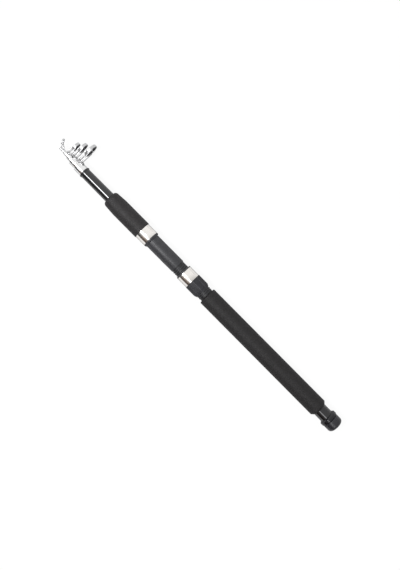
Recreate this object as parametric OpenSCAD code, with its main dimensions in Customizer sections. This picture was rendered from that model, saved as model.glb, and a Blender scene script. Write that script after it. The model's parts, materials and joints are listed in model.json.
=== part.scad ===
// Telescopic fishing rod, closed, lying on its side.
// The rod runs along +X from the butt to the tip, with its axis on the X axis.
// The butt end is at x = 0 and the line guides and the reel seat's bed face -Y.

/* [Handle tube] */
// Outside diameter of the handle tube at the butt
tube_butt_d = 18.7; // [18:0.1:21]
// Outside diameter of the handle tube at its mouth
tube_mouth_d = 13.7; // [13.5:0.1:16]
// Wall of the handle tube at the butt
tube_butt_wall = 1.1; // [0.8:0.05:1.3]
// Wall of the handle tube at its mouth
tube_mouth_wall = 0.75; // [0.6:0.05:1]
// Bare tube between the butt collar and the rear grip
butt_bare = 13.2; // [5:0.1:40]
// Bare tube between the foregrip and the mouth ring
front_bare = 45; // [15:0.1:80]
// Length of the mouth ring
mouth_ring_len = 2.1; // [1.5:0.1:8]
// Wall of the mouth ring
mouth_ring_wall = 0.85; // [0.6:0.05:2]

/* [Grips] */
// Length of the rear grip
rear_grip_len = 204.8; // [120:0.1:280]
// Diameter of the rear grip
rear_grip_d = 24.8; // [23.5:0.1:30]
// Length of the rear grip's tapered back end
rear_grip_taper = 3; // [1:0.1:10]
// Foam round the tube at the rear grip's back end
rear_grip_end_wall = 0.4; // [0.3:0.05:1.5]
// Radius of the rear grip's front edge
rear_grip_edge = 1.6; // [0.5:0.1:3]
// Length of the foregrip
foregrip_len = 59; // [40:0.1:120]
// Diameter of the foregrip
foregrip_d = 24.5; // [23:0.1:30]
// Length of the foregrip's tapered nose
foregrip_nose = 18; // [10:0.1:30]
// Length of the rounding at the front of the nose
foregrip_nose_round = 5; // [2:0.1:8]
// How far the nose tapers down towards its rounding
foregrip_nose_drop = 1.5; // [0.2:0.1:2]
// Foam round the tube at the tip of the nose
foregrip_nose_wall = 0.9; // [0.5:0.05:2]

/* [Reel seat] */
// Least wall of the arbors between the handle tube and the seat
arbor_wall = 0.5; // [0.3:0.05:1.5]
// Length of each arbor
arbor_len = 24; // [10:0.5:40]
// Wall of the seat barrel
barrel_wall = 1.4; // [1.3:0.05:2.5]
// Threaded neck between the rear grip and the lock nut
neck_len = 7.8; // [4:0.1:20]
// Thread left bare ahead of the moving hood
thread_bare = 9.2; // [3:0.1:20]
// Plain barrel between the thread and the fixed hood
barrel_bare = 46.1; // [30:0.1:70]
// Pitch of the seat's thread
thread_pitch = 2.75; // [2:0.05:4]
// Depth of the seat's thread
thread_depth = 0.6; // [0.3:0.05:0.7]
// Width of the raised flat bed that the reel foot lies on
bed_w = 7; // [5:0.5:8]
// Depth of the flat bed below the barrel's round top
bed_drop = 0.2; // [0.1:0.05:0.4]
// Depth of the flats under the hoods below the barrel's round top
toe_drop = 0.95; // [0.6:0.05:1.05]
// Width of the reel foot's pocket under each hood
pocket_w = 12; // [9:0.5:14]
// Depth of the reel foot's pocket in from each hood's lip
pocket_len = 13; // [8:0.5:14]
// Length of the lock nut
nut_len = 18.5; // [12:0.1:30]
// Wall of the lock nut
nut_wall = 2; // [1.2:0.05:3]
// Number of flats round the lock nut
nut_flats = 10; // [6:2:12]
// Depth of the lock nut's flats
nut_flat_depth = 0.45; // [0.2:0.05:0.6]
// Length of the taper at the lock nut's back
nut_taper = 4.3; // [1:0.1:8]
// Length of each hood's metal sleeve
hood_len = 15.4; // [15:0.1:25]
// Wall of each hood's metal sleeve
hood_wall = 0.5; // [0.4:0.05:1]
// Wall of the fixed hood's liner
fixed_liner_wall = 0.9; // [0.5:0.05:1.2]
// Wall of the moving hood's liner
moving_liner_wall = 0.7; // [0.5:0.05:1.2]
// Length of the fixed hood's lip
fixed_lip_len = 3.3; // [2.2:0.1:6]
// Length of the moving hood's lip
moving_lip_len = 2.2; // [2.1:0.1:6]
// Length of the taper at the front of each lip
lip_taper = 1.7; // [0.5:0.1:1.8]
// Travel of the moving hood ahead of its place
hood_forward = 20; // [10:0.5:26]

/* [Butt cap] */
// Length of the cap ahead of its end face
cap_len = 12.6; // [8:0.1:20]
// Diameter of the cap
cap_d = 22.1; // [20:0.1:26]
// Length of the cap's domed end
cap_dome = 4.6; // [2:0.1:7]
// Diameter of the flat at the end of the dome
cap_flat_d = 10.6; // [5:0.1:14]
// Length of the butt collar
butt_collar_len = 5.9; // [5:0.1:15]
// Diameter of the butt collar
butt_collar_d = 23.6; // [22.5:0.1:27]
// Length of the taper at the front of the butt collar
butt_collar_taper = 1.8; // [0.5:0.1:4]
// Length of the cap's threaded plug
plug_len = 11; // [6:0.1:20]
// Wall of the plug
plug_wall = 1.7; // [1.2:0.1:2.5]
// Wall of the threaded bush in the butt
bush_wall = 1.6; // [1.2:0.1:2.2]
// Thickness of the cap's cushion
pad_len = 3; // [1:0.1:6]

/* [Sections] */
// Side gap at rest of sections 2, 3, 4 and the tip in the mouth before each
mouth_gap = [0.4, 0.39, 0.64, 0.79]; // [0.3:0.01:0.9]
// Wall of sections 2, 3 and 4 at their butts
section_wall = 0.7; // [0.5:0.05:0.9]
// Length over which a drawn section jams in the mouth before it
lock_len = 55; // [30:1:80]
// Radial swell of a section over its jamming length
lock_rise = 0.16; // [0.08:0.01:0.25]
// Length of the end collars of sections 2, 3, 4 and the tip
collar_len = [11.6, 9.9, 6.8, 6.9]; // [5:0.1:16]
// Wall of the end collars of sections 2, 3, 4 and the tip
collar_wall = [1.25, 1.25, 1.05, 1.35]; // [1:0.05:1.6]

/* [Line guides] */
// Outside diameter of the rings on sections 2, 3 and 4
ring_d = [18.8, 14.6, 12]; // [9:0.1:22]
// Gap between the collar and the ring on sections 2, 3 and 4
ring_rise = [9.1, 7.75, 5.65]; // [4:0.05:14]
// Distance of the rings ahead of the collar's front face
ring_lead = [1.8, 1.2, 1.7]; // [0:0.1:2]
// Depth of each ring along the rod
ring_depth = 3.8; // [2.4:0.1:4]
// Radial thickness of each metal hoop
hoop_wall = 1.1; // [0.8:0.05:1.5]
// Radial thickness of each ceramic insert
insert_wall = 1.4; // [1:0.05:2]
// Diameter of the frames' wire legs
leg_d = 1.1; // [0.8:0.05:1.5]
// Spread of the front and back legs at the foot
leg_spread = 4.6; // [4:0.1:5]
// Depth that each leg is let into the side of the hoop
leg_lap = 0.35; // [0.3:0.05:0.5]
// Angle round the rod between the guide's middle and each foot
foot_angle = 40; // [25:1:50]
// Angle below the ring's middle where the legs meet it
leg_top_angle = 12; // [5:1:35]
// Thickness of the foot plate
foot_wall = 0.8; // [0.6:0.05:1]
// Foot plate behind the back legs
foot_tail = 2.4; // [1.5:0.1:3]

/* [Tip top] */
// Diameter of the tip of the rod inside the tip tube
spigot_d = 2.3; // [1.8:0.05:2.5]
// Wall of the tip tube
tip_tube_wall = 0.45; // [0.35:0.05:0.8]
// Length of the tip tube
tip_tube_len = 8.2; // [6:0.1:14]
// Outside diameter of the tip ring
tip_ring_d = 8.2; // [6:0.1:10]
// Depth of the tip ring
tip_ring_depth = 1.8; // [1.4:0.1:3]
// Radial thickness of the tip ring's hoop
tip_hoop_wall = 0.8; // [0.6:0.05:1.2]
// Radial thickness of the tip ring's insert
tip_insert_wall = 1; // [0.7:0.05:1.4]
// Gap between the tip tube and the tip ring
tip_rise = 2.6; // [1.5:0.1:6]
// Distance of the tip ring ahead of the tip tube's end
tip_lead = 2; // [0:0.1:2.5]
// Lean of the tip ring towards the front
tip_lean = 22; // [15:1:45]
// Diameter of the tip top's wires
tip_wire_d = 0.9; // [0.7:0.05:1.2]
// Thickness of the tip top's foot plate
tip_plate_wall = 0.5; // [0.4:0.05:0.7]
// Angle round the tip tube between the foot plate's middle and its edges
tip_plate_angle = 75; // [60:1:85]
// Angle from the bottom of the tip ring to the front wires
strut_angle = 25; // [15:1:35]
// Angle from the bottom of the tip ring to the back wires
brace_angle = 80; // [65:1:95]

/* [Fits] */
// Glue gap between pieces that are bonded
glue_gap = 0.04; // [0.02:0.01:0.08]
// Side gap of a drawn section in the mouth that holds it
lock_fit = 0.05; // [0.02:0.01:0.1]
// Side gap of the moving hood and the lock nut on the barrel
seat_fit = 0.1; // [0.05:0.01:0.15]
// Side gap of the cap's plug in its bush
plug_fit = 0.1; // [0.05:0.01:0.15]
// End gap between pieces that stop on each other
stop_gap = 0.1; // [0.05:0.01:0.3]
// Open groove between the cap and the butt collar
cap_groove = 0.4; // [0.2:0.05:1]

/* [Hidden] */
$fn = 96;
black = "#1b1b1c";
foam = "#2c2b2b";
chrome = "#d8d8da";
ceramic = "#2a2c33";
cut = 1;
edge = 0.3;
steps = 24;

// Stations along the rod, from the butt to the tip
butt_collar_x = cap_len + cap_groove;
rear_grip_x = butt_collar_x + butt_collar_len + butt_bare;
barrel_x = rear_grip_x + rear_grip_len + stop_gap;
nut_x = barrel_x + neck_len;
moving_hood_x = nut_x + nut_len + stop_gap;
moving_lip_x = moving_hood_x + hood_len;
moving_end = moving_lip_x + moving_lip_len;
thread_end = moving_end + thread_bare;
fixed_lip_x = thread_end + barrel_bare;
fixed_hood_x = fixed_lip_x + fixed_lip_len;
barrel_end = fixed_hood_x + hood_len;
foregrip_x = barrel_end + stop_gap;
mouth_ring_x = foregrip_x + foregrip_len + front_bare;
mouth_x = mouth_ring_x + mouth_ring_len;
pad_x = cap_len + plug_len + stop_gap;
base_x = pad_x + pad_len + stop_gap;
hood_back = neck_len - stop_gap;

// Radius of the handle tube's outside at a station
function tube_r(x) = (tube_butt_d
    + (tube_mouth_d - tube_butt_d) * (x - butt_collar_x) / (mouth_x - butt_collar_x)) / 2;

// Radii of the reel seat, from the handle tube outwards
arbor_r = tube_r(barrel_x) + glue_gap + arbor_wall;
barrel_bore = arbor_r + glue_gap;
barrel_r = barrel_bore + barrel_wall;
liner_bore = barrel_r + seat_fit;
nut_r = liner_bore + nut_wall;
moving_sleeve_bore = liner_bore + moving_liner_wall + glue_gap;
fixed_sleeve_bore = liner_bore + fixed_liner_wall + glue_gap;
key_w = 3;
key_depth = 0.6;
ridge_foot = 0.7 * thread_pitch;
ridge_top = 0.24 * thread_pitch;

// Radii of the butt, from the bush inwards
bush_r = tube_r(butt_collar_x + plug_len) - tube_butt_wall - glue_gap;
plug_r = bush_r - bush_wall - plug_fit;
pad_stem = 6;

// Each section's mouth and radii, worked out from the one that it slides in
section_count = len(collar_len);
function sum(v, n) = n < 0 ? 0 : v[n] + sum(v, n - 1);
function mouth(k) = mouth_x + sum(collar_len, k - 1) + k * stop_gap;
function mouth_bore(k) = k == 0 ? tube_mouth_d / 2 - tube_mouth_wall
    : tip_r(k - 1) - section_wall - lock_rise;
function tip_r(k) = mouth_bore(k) - mouth_gap[k];
function lock_r(k) = mouth_bore(k) - lock_fit;
function base_r(k) = lock_r(k) + lock_rise;
function collar_x(k) = mouth(k) + stop_gap;
function collar_r(k) = tip_r(k) + glue_gap + collar_wall[k];

// Each guide ring's place and sizes
function ring_x(k) = mouth(k + 1) + ring_lead[k];
function ring_h(k) = collar_r(k) + ring_rise[k] + ring_d[k] / 2;
function insert_r(k) = ring_d[k] / 2 - hoop_wall - glue_gap;

// The tip top's place
tip_tube_x = mouth(section_count) + stop_gap;
tip_tube_r = spigot_d / 2 + glue_gap + tip_tube_wall;
tip_ring_h = tip_tube_r + tip_rise + tip_ring_d / 2 * cos(tip_lean);
tip_ring_x = tip_tube_x + tip_tube_len + tip_lead + tip_ring_d / 2 * sin(tip_lean) - tip_wire_d / 2;
tip_insert_r = tip_ring_d / 2 - tip_hoop_wall - glue_gap;

// Turns a profile of [radius, station] points about the rod's axis
module turned(points) {
    rotate([0, 90, 0])
        rotate_extrude()
            polygon(points);
}

// A quarter ellipse from [r0, x0] to [r1, x1], upright at its first point
function nose(r0, x0, r1, x1) = [for (i = [0 : steps])
    [r0 + (r1 - r0) * sin(90 * i / steps), x0 + (x1 - x0) * (1 - cos(90 * i / steps))]];

// A plain sleeve with broken outer edges
module sleeve(bore, r, x0, x1) {
    turned([[bore, x0], [r - edge, x0], [r, x0 + edge], [r, x1 - edge], [r - edge, x1], [bore, x1]]);
}

// A round bar between two points
module bar(p, q, d) {
    v = q - p;
    translate(p)
        rotate([0, acos(v.z / norm(v)), atan2(v.y, v.x)])
            cylinder(d = d, h = norm(v));
}

// A ring section with rounded rims, for hoops
module hoop(r, wall, depth) {
    rotate_extrude()
        translate([r - wall, -depth / 2])
            polygon([[0, edge], [edge, 0], [wall - edge, 0], [wall, edge],
                [wall, depth - edge], [wall - edge, depth], [edge, depth], [0, depth - edge]]);
}

// A ceramic ring with a rounded bore and a short straight land
module insert(r, wall, depth) {
    land = depth / 3;
    lip = (depth - land) / 2;
    rotate_extrude()
        polygon(concat([[r, -depth / 2]], [[r, depth / 2]],
            [for (i = [0 : 6]) [r - wall / 2 - wall / 2 * sin(15 * i), land / 2 + lip * cos(15 * i)]],
            [for (i = [6 : -1 : 0]) [r - wall / 2 - wall / 2 * sin(15 * i), -land / 2 - lip * cos(15 * i)]]));
}

module handle_tube() {
    bore_x = mouth_x - lock_len;
    color(black)
        turned([[tube_butt_d / 2 - tube_butt_wall, butt_collar_x], [tube_butt_d / 2, butt_collar_x],
            [tube_mouth_d / 2, mouth_x], [mouth_bore(0), mouth_x],
            [mouth_bore(0) + lock_rise, bore_x]]);
}

module mouth_ring() {
    r = tube_r(mouth_ring_x) + glue_gap;
    color(black)
        sleeve(r, r + mouth_ring_wall, mouth_ring_x, mouth_x);
}

module foregrip() {
    end = foregrip_x + foregrip_len;
    tip = tube_r(end) + glue_gap + foregrip_nose_wall;
    r = foregrip_d / 2;
    front = nose(tip, end, r - foregrip_nose_drop, end - foregrip_nose_round);
    fall = foregrip_nose_drop / foregrip_nose;
    color(foam)
        turned(concat([[tube_r(end) + glue_gap, end]],
            [for (p = front) [p[0] + fall * (end - p[1]), p[1]]],
            [[r, end - foregrip_nose], [r, foregrip_x], [tube_r(foregrip_x) + glue_gap, foregrip_x]]));
}

module rear_grip() {
    end = rear_grip_x + rear_grip_len;
    r = rear_grip_d / 2;
    back = tube_r(rear_grip_x) + glue_gap;
    color(foam)
        turned(concat([[back, rear_grip_x], [back + rear_grip_end_wall, rear_grip_x],
            [r, rear_grip_x + rear_grip_taper]],
            [for (i = [0 : 6])
                [r - rear_grip_edge * (1 - cos(15 * i)), end - rear_grip_edge * (1 - sin(15 * i))]],
            [[tube_r(end) + glue_gap, end]]));
}

// Rounded ridges stand for the seat's thread, one at each pitch
function ridges() = [for (x = [barrel_x + thread_pitch : thread_pitch : thread_end - thread_pitch / 2])
    each [[barrel_r - thread_depth, x - ridge_foot / 2], [barrel_r, x - ridge_top / 2],
        [barrel_r, x + ridge_top / 2], [barrel_r - thread_depth, x + ridge_foot / 2]]];

// A cut below the barrel's surface on the bed side
module bed_cut(x0, x1, depth) {
    translate([x0, -barrel_r - cut, -barrel_r])
        cube([x1 - x0, depth + cut, 2 * barrel_r]);
}

module seat_barrel() {
    bed_end = fixed_lip_x - stop_gap;
    bed_foot = barrel_bore + barrel_wall / 4;
    toe_x = moving_end - pocket_len - hood_back;
    key_x0 = moving_hood_x - hood_back - stop_gap;
    key_x1 = moving_end + hood_forward + stop_gap;
    color(black)
        difference() {
            union() {
                turned(concat([[barrel_bore, barrel_x], [barrel_r - thread_depth, barrel_x]],
                    ridges(),
                    [[barrel_r - thread_depth, thread_end], [barrel_r, thread_end], [barrel_r, barrel_end],
                        [barrel_bore, barrel_end]]));
                translate([thread_end, -barrel_r, -bed_w / 2])
                    cube([bed_end - thread_end, barrel_r - bed_foot, bed_w]);
            }
            bed_cut(thread_end, bed_end, bed_drop);
            bed_cut(toe_x, thread_end, toe_drop);
            bed_cut(bed_end, fixed_lip_x + pocket_len, toe_drop);
            translate([key_x0, barrel_r - key_depth - stop_gap, -key_w / 2 - stop_gap])
                cube([key_x1 - key_x0, key_depth + cut, key_w + 2 * stop_gap]);
        }
}

module arbor(x0) {
    x1 = x0 + arbor_len;
    turned([[tube_r(x0) + glue_gap, x0], [arbor_r, x0], [arbor_r, x1], [tube_r(x1) + glue_gap, x1]]);
}

module rear_arbor() {
    color(foam)
        arbor(barrel_x);
}

module front_arbor() {
    color(foam)
        arbor(barrel_end - arbor_len);
}

// A hood's liner from its closed end to its lip, open at the bed side for the reel foot
module hood_liner(sleeve_bore, lip_len) {
    r = sleeve_bore - glue_gap;
    lip_r = sleeve_bore + hood_wall;
    end = hood_len + lip_len;
    difference() {
        turned([[liner_bore, 0], [r, 0], [r, hood_len], [lip_r - edge, hood_len], [lip_r, hood_len + edge],
            [lip_r, end - lip_taper], [liner_bore + edge, end], [liner_bore, end]]);
        intersection() {
            translate([end - pocket_len, 0, 0])
                rotate([0, 90, 0])
                    cylinder(r = sleeve_bore, h = pocket_len + cut);
            translate([0, -2 * barrel_r, -pocket_w / 2])
                cube([end + 2 * cut, 2 * barrel_r, pocket_w]);
        }
    }
}

module moving_hood_liner() {
    key_top = barrel_r - key_depth;
    color(black) {
        translate([moving_hood_x, 0, 0])
            hood_liner(moving_sleeve_bore, moving_lip_len);
        translate([moving_hood_x, key_top, -key_w / 2])
            cube([hood_len, liner_bore + moving_liner_wall / 2 - key_top, key_w]);
    }
}

module fixed_hood_liner() {
    color(black)
        translate([barrel_end, 0, 0])
            mirror([1, 0, 0])
                hood_liner(fixed_sleeve_bore, fixed_lip_len);
}

module moving_hood_sleeve() {
    color(chrome)
        sleeve(moving_sleeve_bore, moving_sleeve_bore + hood_wall, moving_hood_x, moving_lip_x - glue_gap);
}

module fixed_hood_sleeve() {
    color(chrome)
        sleeve(fixed_sleeve_bore, fixed_sleeve_bore + hood_wall, fixed_hood_x + glue_gap, barrel_end);
}

module lock_nut() {
    end = nut_x + nut_len;
    corner_r = (nut_r - nut_flat_depth) / cos(180 / nut_flats);
    color(black)
        intersection() {
            turned([[liner_bore, nut_x], [liner_bore + edge, nut_x], [nut_r, nut_x + nut_taper],
                [nut_r, end - edge], [nut_r - edge, end], [liner_bore, end]]);
            translate([nut_x - cut, 0, 0])
                rotate([0, 90, 0])
                    cylinder(r = corner_r, h = nut_len + 2 * cut, $fn = nut_flats);
        }
}

module butt_collar() {
    end = butt_collar_x + butt_collar_len;
    r = butt_collar_d / 2;
    bore = tube_butt_d / 2 + glue_gap;
    color(black)
        turned([[bore, butt_collar_x], [r - edge, butt_collar_x], [r, butt_collar_x + edge],
            [r, end - butt_collar_taper], [bore + edge, end], [bore, end]]);
}

module butt_bush() {
    color(black)
        turned([[plug_r + plug_fit, butt_collar_x], [bush_r, butt_collar_x],
            [bush_r, butt_collar_x + plug_len], [plug_r + plug_fit, butt_collar_x + plug_len]]);
}

module butt_cap() {
    r = cap_d / 2;
    bore = plug_r - plug_wall;
    end = cap_len + plug_len;
    color(black)
        turned(concat([[0, 0]],
            [for (i = [0 : steps])
                [cap_flat_d / 2 + (r - cap_flat_d / 2) * sin(90 * i / steps), cap_dome * (1 - cos(90 * i / steps))]],
            [[r, cap_len - edge], [r - edge, cap_len], [plug_r, cap_len], [plug_r, end],
                [bore, end], [bore, end - pad_stem - stop_gap], [0, end - pad_stem - stop_gap]]));
}

module cap_pad() {
    stem_r = plug_r - plug_wall - plug_fit;
    end = pad_x + pad_len;
    color(foam)
        turned([[0, pad_x - pad_stem], [stem_r, pad_x - pad_stem], [stem_r, pad_x],
            [plug_r - edge, pad_x], [plug_r - edge, end], [0, end]]);
}

// A hollow section: swollen at its butt, straight in its collar, jamming taper in its mouth
module section_tube(k) {
    end = mouth(k + 1);
    bore = mouth_bore(k + 1);
    color(black)
        turned([[base_r(k) - section_wall, base_x], [base_r(k), base_x], [lock_r(k), base_x + lock_len],
            [tip_r(k), mouth(k)], [tip_r(k), end], [bore, end], [bore + lock_rise, end - lock_len]]);
}

module tip_rod() {
    k = section_count - 1;
    end = tip_tube_x + tip_tube_len - tip_tube_wall - stop_gap;
    color(black)
        turned([[0, base_x], [base_r(k), base_x], [lock_r(k), base_x + lock_len], [tip_r(k), mouth(k)],
            [tip_r(k), mouth(k + 1)], [spigot_d / 2, mouth(k + 1)], [spigot_d / 2, end], [0, end]]);
}

module collar(k) {
    color(chrome)
        sleeve(tip_r(k) + glue_gap, collar_r(k), collar_x(k), mouth(k + 1));
}

// A curved plate on the guide side of a sleeve, reaching an angle to each side
module foot_plate(r, wall, angle, x0, x1) {
    reach = 2 * (r + wall);
    intersection() {
        turned([[r, x0], [r + wall, x0], [r + wall, x1], [r, x1]]);
        translate([x0 - cut, 0, 0])
            rotate([0, 90, 0])
                linear_extrude(x1 - x0 + 2 * cut)
                    polygon([[0, 0], reach * [-sin(angle), -cos(angle)], [0, -2 * reach],
                        reach * [sin(angle), -cos(angle)]]);
    }
}

// A guide: a hoop on four wire legs, let into its sides, that stand on a curved foot plate
module guide_frame(k) {
    x = ring_x(k);
    h = ring_h(k);
    r = ring_d[k] / 2 - hoop_wall / 2;
    plate_r = collar_r(k) + glue_gap;
    leg_r = plate_r + foot_wall / 2;
    leg_top = (ring_depth + leg_d) / 2 - leg_lap;
    color(chrome) {
        translate([x, -h, 0])
            rotate([0, 90, 0])
                hoop(ring_d[k] / 2, hoop_wall, ring_depth);
        for (end = [-1, 1], side = [-1, 1])
            bar([x + end * leg_spread / 2, -leg_r * cos(foot_angle), side * leg_r * sin(foot_angle)],
                [x + end * leg_top, r * sin(leg_top_angle) - h, side * r * cos(leg_top_angle)],
                leg_d);
        foot_plate(plate_r, foot_wall, foot_angle + asin(leg_d / plate_r),
            x - leg_spread / 2 - leg_d - foot_tail, x + leg_spread / 2 + leg_d);
    }
}

module guide_insert(k) {
    color(ceramic)
        translate([ring_x(k), -ring_h(k), 0])
            rotate([0, 90, 0])
                insert(insert_r(k), insert_wall, ring_depth);
}

module tip_tube() {
    end = tip_tube_x + tip_tube_len;
    bore = spigot_d / 2 + glue_gap;
    color(chrome)
        turned([[bore, tip_tube_x], [tip_tube_r, tip_tube_x], [tip_tube_r, end - edge], [tip_tube_r - edge, end],
            [0, end], [0, end - tip_tube_wall], [bore, end - tip_tube_wall]]);
}

// Places a shape that is drawn round +Z in the leaning plane of the tip ring
module at_tip_ring() {
    translate([tip_ring_x, -tip_ring_h, 0])
        rotate([0, 0, tip_lean])
            rotate([0, 90, 0])
                children();
}

// A point on the tip ring's hoop, at an angle round from its lowest point
function tip_hoop_point(r, angle, side) = [tip_ring_x - r * cos(angle) * sin(tip_lean),
    -tip_ring_h + r * cos(angle) * cos(tip_lean), side * r * sin(angle)];

module tip_frame() {
    r = tip_ring_d / 2 - tip_hoop_wall / 2;
    plate_r = tip_tube_r + glue_gap;
    wire_r = plate_r + tip_plate_wall / 2;
    front = tip_tube_x + tip_tube_len - edge;
    back = tip_tube_x + edge;
    color(chrome) {
        at_tip_ring()
            hoop(tip_ring_d / 2, tip_hoop_wall, tip_ring_depth);
        for (side = [-1, 1]) {
            bar([front - tip_wire_d, -wire_r * cos(foot_angle), side * wire_r * sin(foot_angle)],
                tip_hoop_point(r, strut_angle, side), tip_wire_d);
            bar([back + tip_wire_d, -wire_r * cos(foot_angle), side * wire_r * sin(foot_angle)],
                tip_hoop_point(r, brace_angle, side), tip_wire_d);
        }
        foot_plate(plate_r, tip_plate_wall, tip_plate_angle, back, front);
    }
}

module tip_insert() {
    color(ceramic)
        at_tip_ring()
            insert(tip_insert_r, tip_insert_wall, tip_ring_depth);
}

handle_tube();
mouth_ring();
foregrip();
rear_grip();
seat_barrel();
front_arbor();
rear_arbor();
fixed_hood_liner();
fixed_hood_sleeve();
moving_hood_liner();
moving_hood_sleeve();
lock_nut();
butt_collar();
butt_bush();
butt_cap();
cap_pad();
section_tube(0);  // section_2_tube
section_tube(1);  // section_3_tube
section_tube(2);  // section_4_tube
tip_rod();
collar(0);  // section_2_collar
collar(1);  // section_3_collar
collar(2);  // section_4_collar
collar(3);  // tip_collar
guide_frame(0);  // section_2_guide_frame
guide_frame(1);  // section_3_guide_frame
guide_frame(2);  // section_4_guide_frame
guide_insert(0);  // section_2_guide_insert
guide_insert(1);  // section_3_guide_insert
guide_insert(2);  // section_4_guide_insert
tip_tube();
tip_frame();
tip_insert();
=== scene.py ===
import json
import math

import bpy
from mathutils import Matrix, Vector

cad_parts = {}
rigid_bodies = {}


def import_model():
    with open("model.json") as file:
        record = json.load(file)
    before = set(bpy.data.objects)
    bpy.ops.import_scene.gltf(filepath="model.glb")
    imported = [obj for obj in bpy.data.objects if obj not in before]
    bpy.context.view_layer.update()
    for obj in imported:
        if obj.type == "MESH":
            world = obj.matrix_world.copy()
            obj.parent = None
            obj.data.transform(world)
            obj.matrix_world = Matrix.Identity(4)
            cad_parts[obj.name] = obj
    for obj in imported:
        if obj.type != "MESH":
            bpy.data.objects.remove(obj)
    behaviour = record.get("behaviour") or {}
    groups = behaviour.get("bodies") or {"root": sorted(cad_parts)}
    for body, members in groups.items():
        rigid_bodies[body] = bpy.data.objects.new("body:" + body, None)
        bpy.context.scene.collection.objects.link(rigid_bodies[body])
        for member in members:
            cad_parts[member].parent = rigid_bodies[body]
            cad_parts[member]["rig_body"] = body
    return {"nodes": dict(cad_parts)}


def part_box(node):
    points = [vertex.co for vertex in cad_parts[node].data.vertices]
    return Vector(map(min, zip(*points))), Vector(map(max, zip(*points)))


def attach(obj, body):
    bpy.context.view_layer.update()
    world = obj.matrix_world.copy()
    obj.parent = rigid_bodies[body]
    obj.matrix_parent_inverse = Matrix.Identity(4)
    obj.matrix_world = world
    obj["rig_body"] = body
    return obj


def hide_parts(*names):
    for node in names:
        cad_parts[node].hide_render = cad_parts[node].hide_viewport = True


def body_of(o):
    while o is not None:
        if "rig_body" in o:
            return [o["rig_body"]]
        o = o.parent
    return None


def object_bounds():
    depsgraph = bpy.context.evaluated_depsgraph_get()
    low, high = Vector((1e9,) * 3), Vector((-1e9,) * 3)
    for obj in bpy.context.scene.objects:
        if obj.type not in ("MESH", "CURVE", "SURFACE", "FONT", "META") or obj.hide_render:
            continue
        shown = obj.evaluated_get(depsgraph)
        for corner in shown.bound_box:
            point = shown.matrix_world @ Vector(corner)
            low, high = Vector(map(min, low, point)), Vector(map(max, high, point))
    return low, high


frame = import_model()
cad_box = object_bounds()
nodes = frame["nodes"]


# The photograph's view. The rod lies on a white table and is seen from straight above,
# turned so that it runs from the butt at the lower right to the tip at the upper left.
FRAME_TALL = 570
FOCAL_PIXELS = 699.8
CAMERA_PLACE = (0.2531, -0.00345, 0.9)
CAMERA_TURN = -134.77

bpy.ops.object.select_all(action="DESELECT")
bpy.ops.object.camera_add(location=CAMERA_PLACE, rotation=(0, 0, math.radians(CAMERA_TURN)))
camera = bpy.context.object
camera.data.sensor_width = 36
camera.data.lens = camera.data.sensor_width * FOCAL_PIXELS / FRAME_TALL
camera.data.clip_start = 0.01
bpy.context.scene.camera = camera
bpy.context.scene.view_settings.view_transform = "Standard"


# The studio: white walls all round, but for a dark side low down away from the guides, brown by
# the butt and grey towards the tip, which draws the dark band along bright and glossy pieces.
# There is less light behind the butt, and everything seen directly is plain white.
DARK_SIDE = ((0, 0.5), (2, (0.085, 0.062, 0.052)), (20, (0.1, 0.07, 0.057)),
             (30, (0.2, 0.16, 0.138)), (40, (0.36, 0.315, 0.285)), (52, (0.64, 0.61, 0.59)),
             (64, 0.95), (180, 1))  # degrees up from the side, and the tone there
GREY_FROM = (0.15, 0.21)
BUTT_LIGHT = 0.62
BUTT_REACH = (-0.3, 0.0)
NOISE = (0.3, 0.7)  # the middle part of a noise pattern's values


def add_node(tree, kind, inputs=None, **settings):
    """Adds a shader node, with values or links for its input sockets."""
    new = tree.nodes.new("ShaderNode" + kind)
    for name, value in settings.items():
        setattr(new, name, value)
    for socket, value in (inputs or {}).items():
        if isinstance(value, bpy.types.NodeSocket):
            tree.links.new(value, new.inputs[socket])
        else:
            new.inputs[socket].default_value = value
    return new


def seen_directly(tree):
    """A ray's kinds, and 1 for a ray from the camera, straight or through glass, else 0."""
    path = add_node(tree, "LightPath")
    seen = add_node(tree, "Math", {0: path.outputs["Is Camera Ray"],
                                   1: path.outputs["Is Transmission Ray"]}, operation="MAXIMUM")
    return path, seen.outputs[0]


def ramp(tree, factor, stops):
    """A colour ramp through grey or coloured stops."""
    new = add_node(tree, "ValToRGB", {"Fac": factor})
    stop = new.color_ramp.elements
    while len(stop) < len(stops):
        stop.new(0.5)
    for element, (place, value) in zip(stop, stops):
        element.position = place
        element.color = (*value, 1) if isinstance(value, tuple) else (value, value, value, 1)
    return new.outputs["Color"]


def between(tree, factor, low, high, start=NOISE[0], end=NOISE[1]):
    """Spreads a part of a pattern's values from a low value to a high one."""
    return add_node(tree, "MapRange", {"Value": factor, "From Min": start, "From Max": end,
                                       "To Min": low, "To Max": high}).outputs["Result"]


world = bpy.data.worlds.new("studio")
bpy.context.scene.world = world
world.use_nodes = True
tree = world.node_tree
direction = add_node(tree, "SeparateXYZ", {0: add_node(tree, "TexCoord").outputs["Generated"]})
side_angle = add_node(tree, "Math", {0: direction.outputs["Z"], 1: direction.outputs["Y"]},
                      operation="ARCTAN2")
turn = add_node(tree, "Math", {0: side_angle.outputs[0], 1: math.pi}, operation="DIVIDE")
walls = ramp(tree, turn.outputs[0], [(angle / 180, level) for angle, level in DARK_SIDE])
plain = add_node(tree, "MixRGB", {
    "Fac": between(tree, direction.outputs["X"], 0.0, 1.0, *GREY_FROM), "Color1": walls,
    "Color2": add_node(tree, "RGBToBW", {0: walls}).outputs[0]})
length = between(tree, direction.outputs["X"], BUTT_LIGHT, 1.0, *BUTT_REACH)
dimmed = add_node(tree, "MixRGB", {"Fac": 1.0, "Color1": plain.outputs["Color"],
                                   "Color2": length}, blend_type="MULTIPLY")
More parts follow.
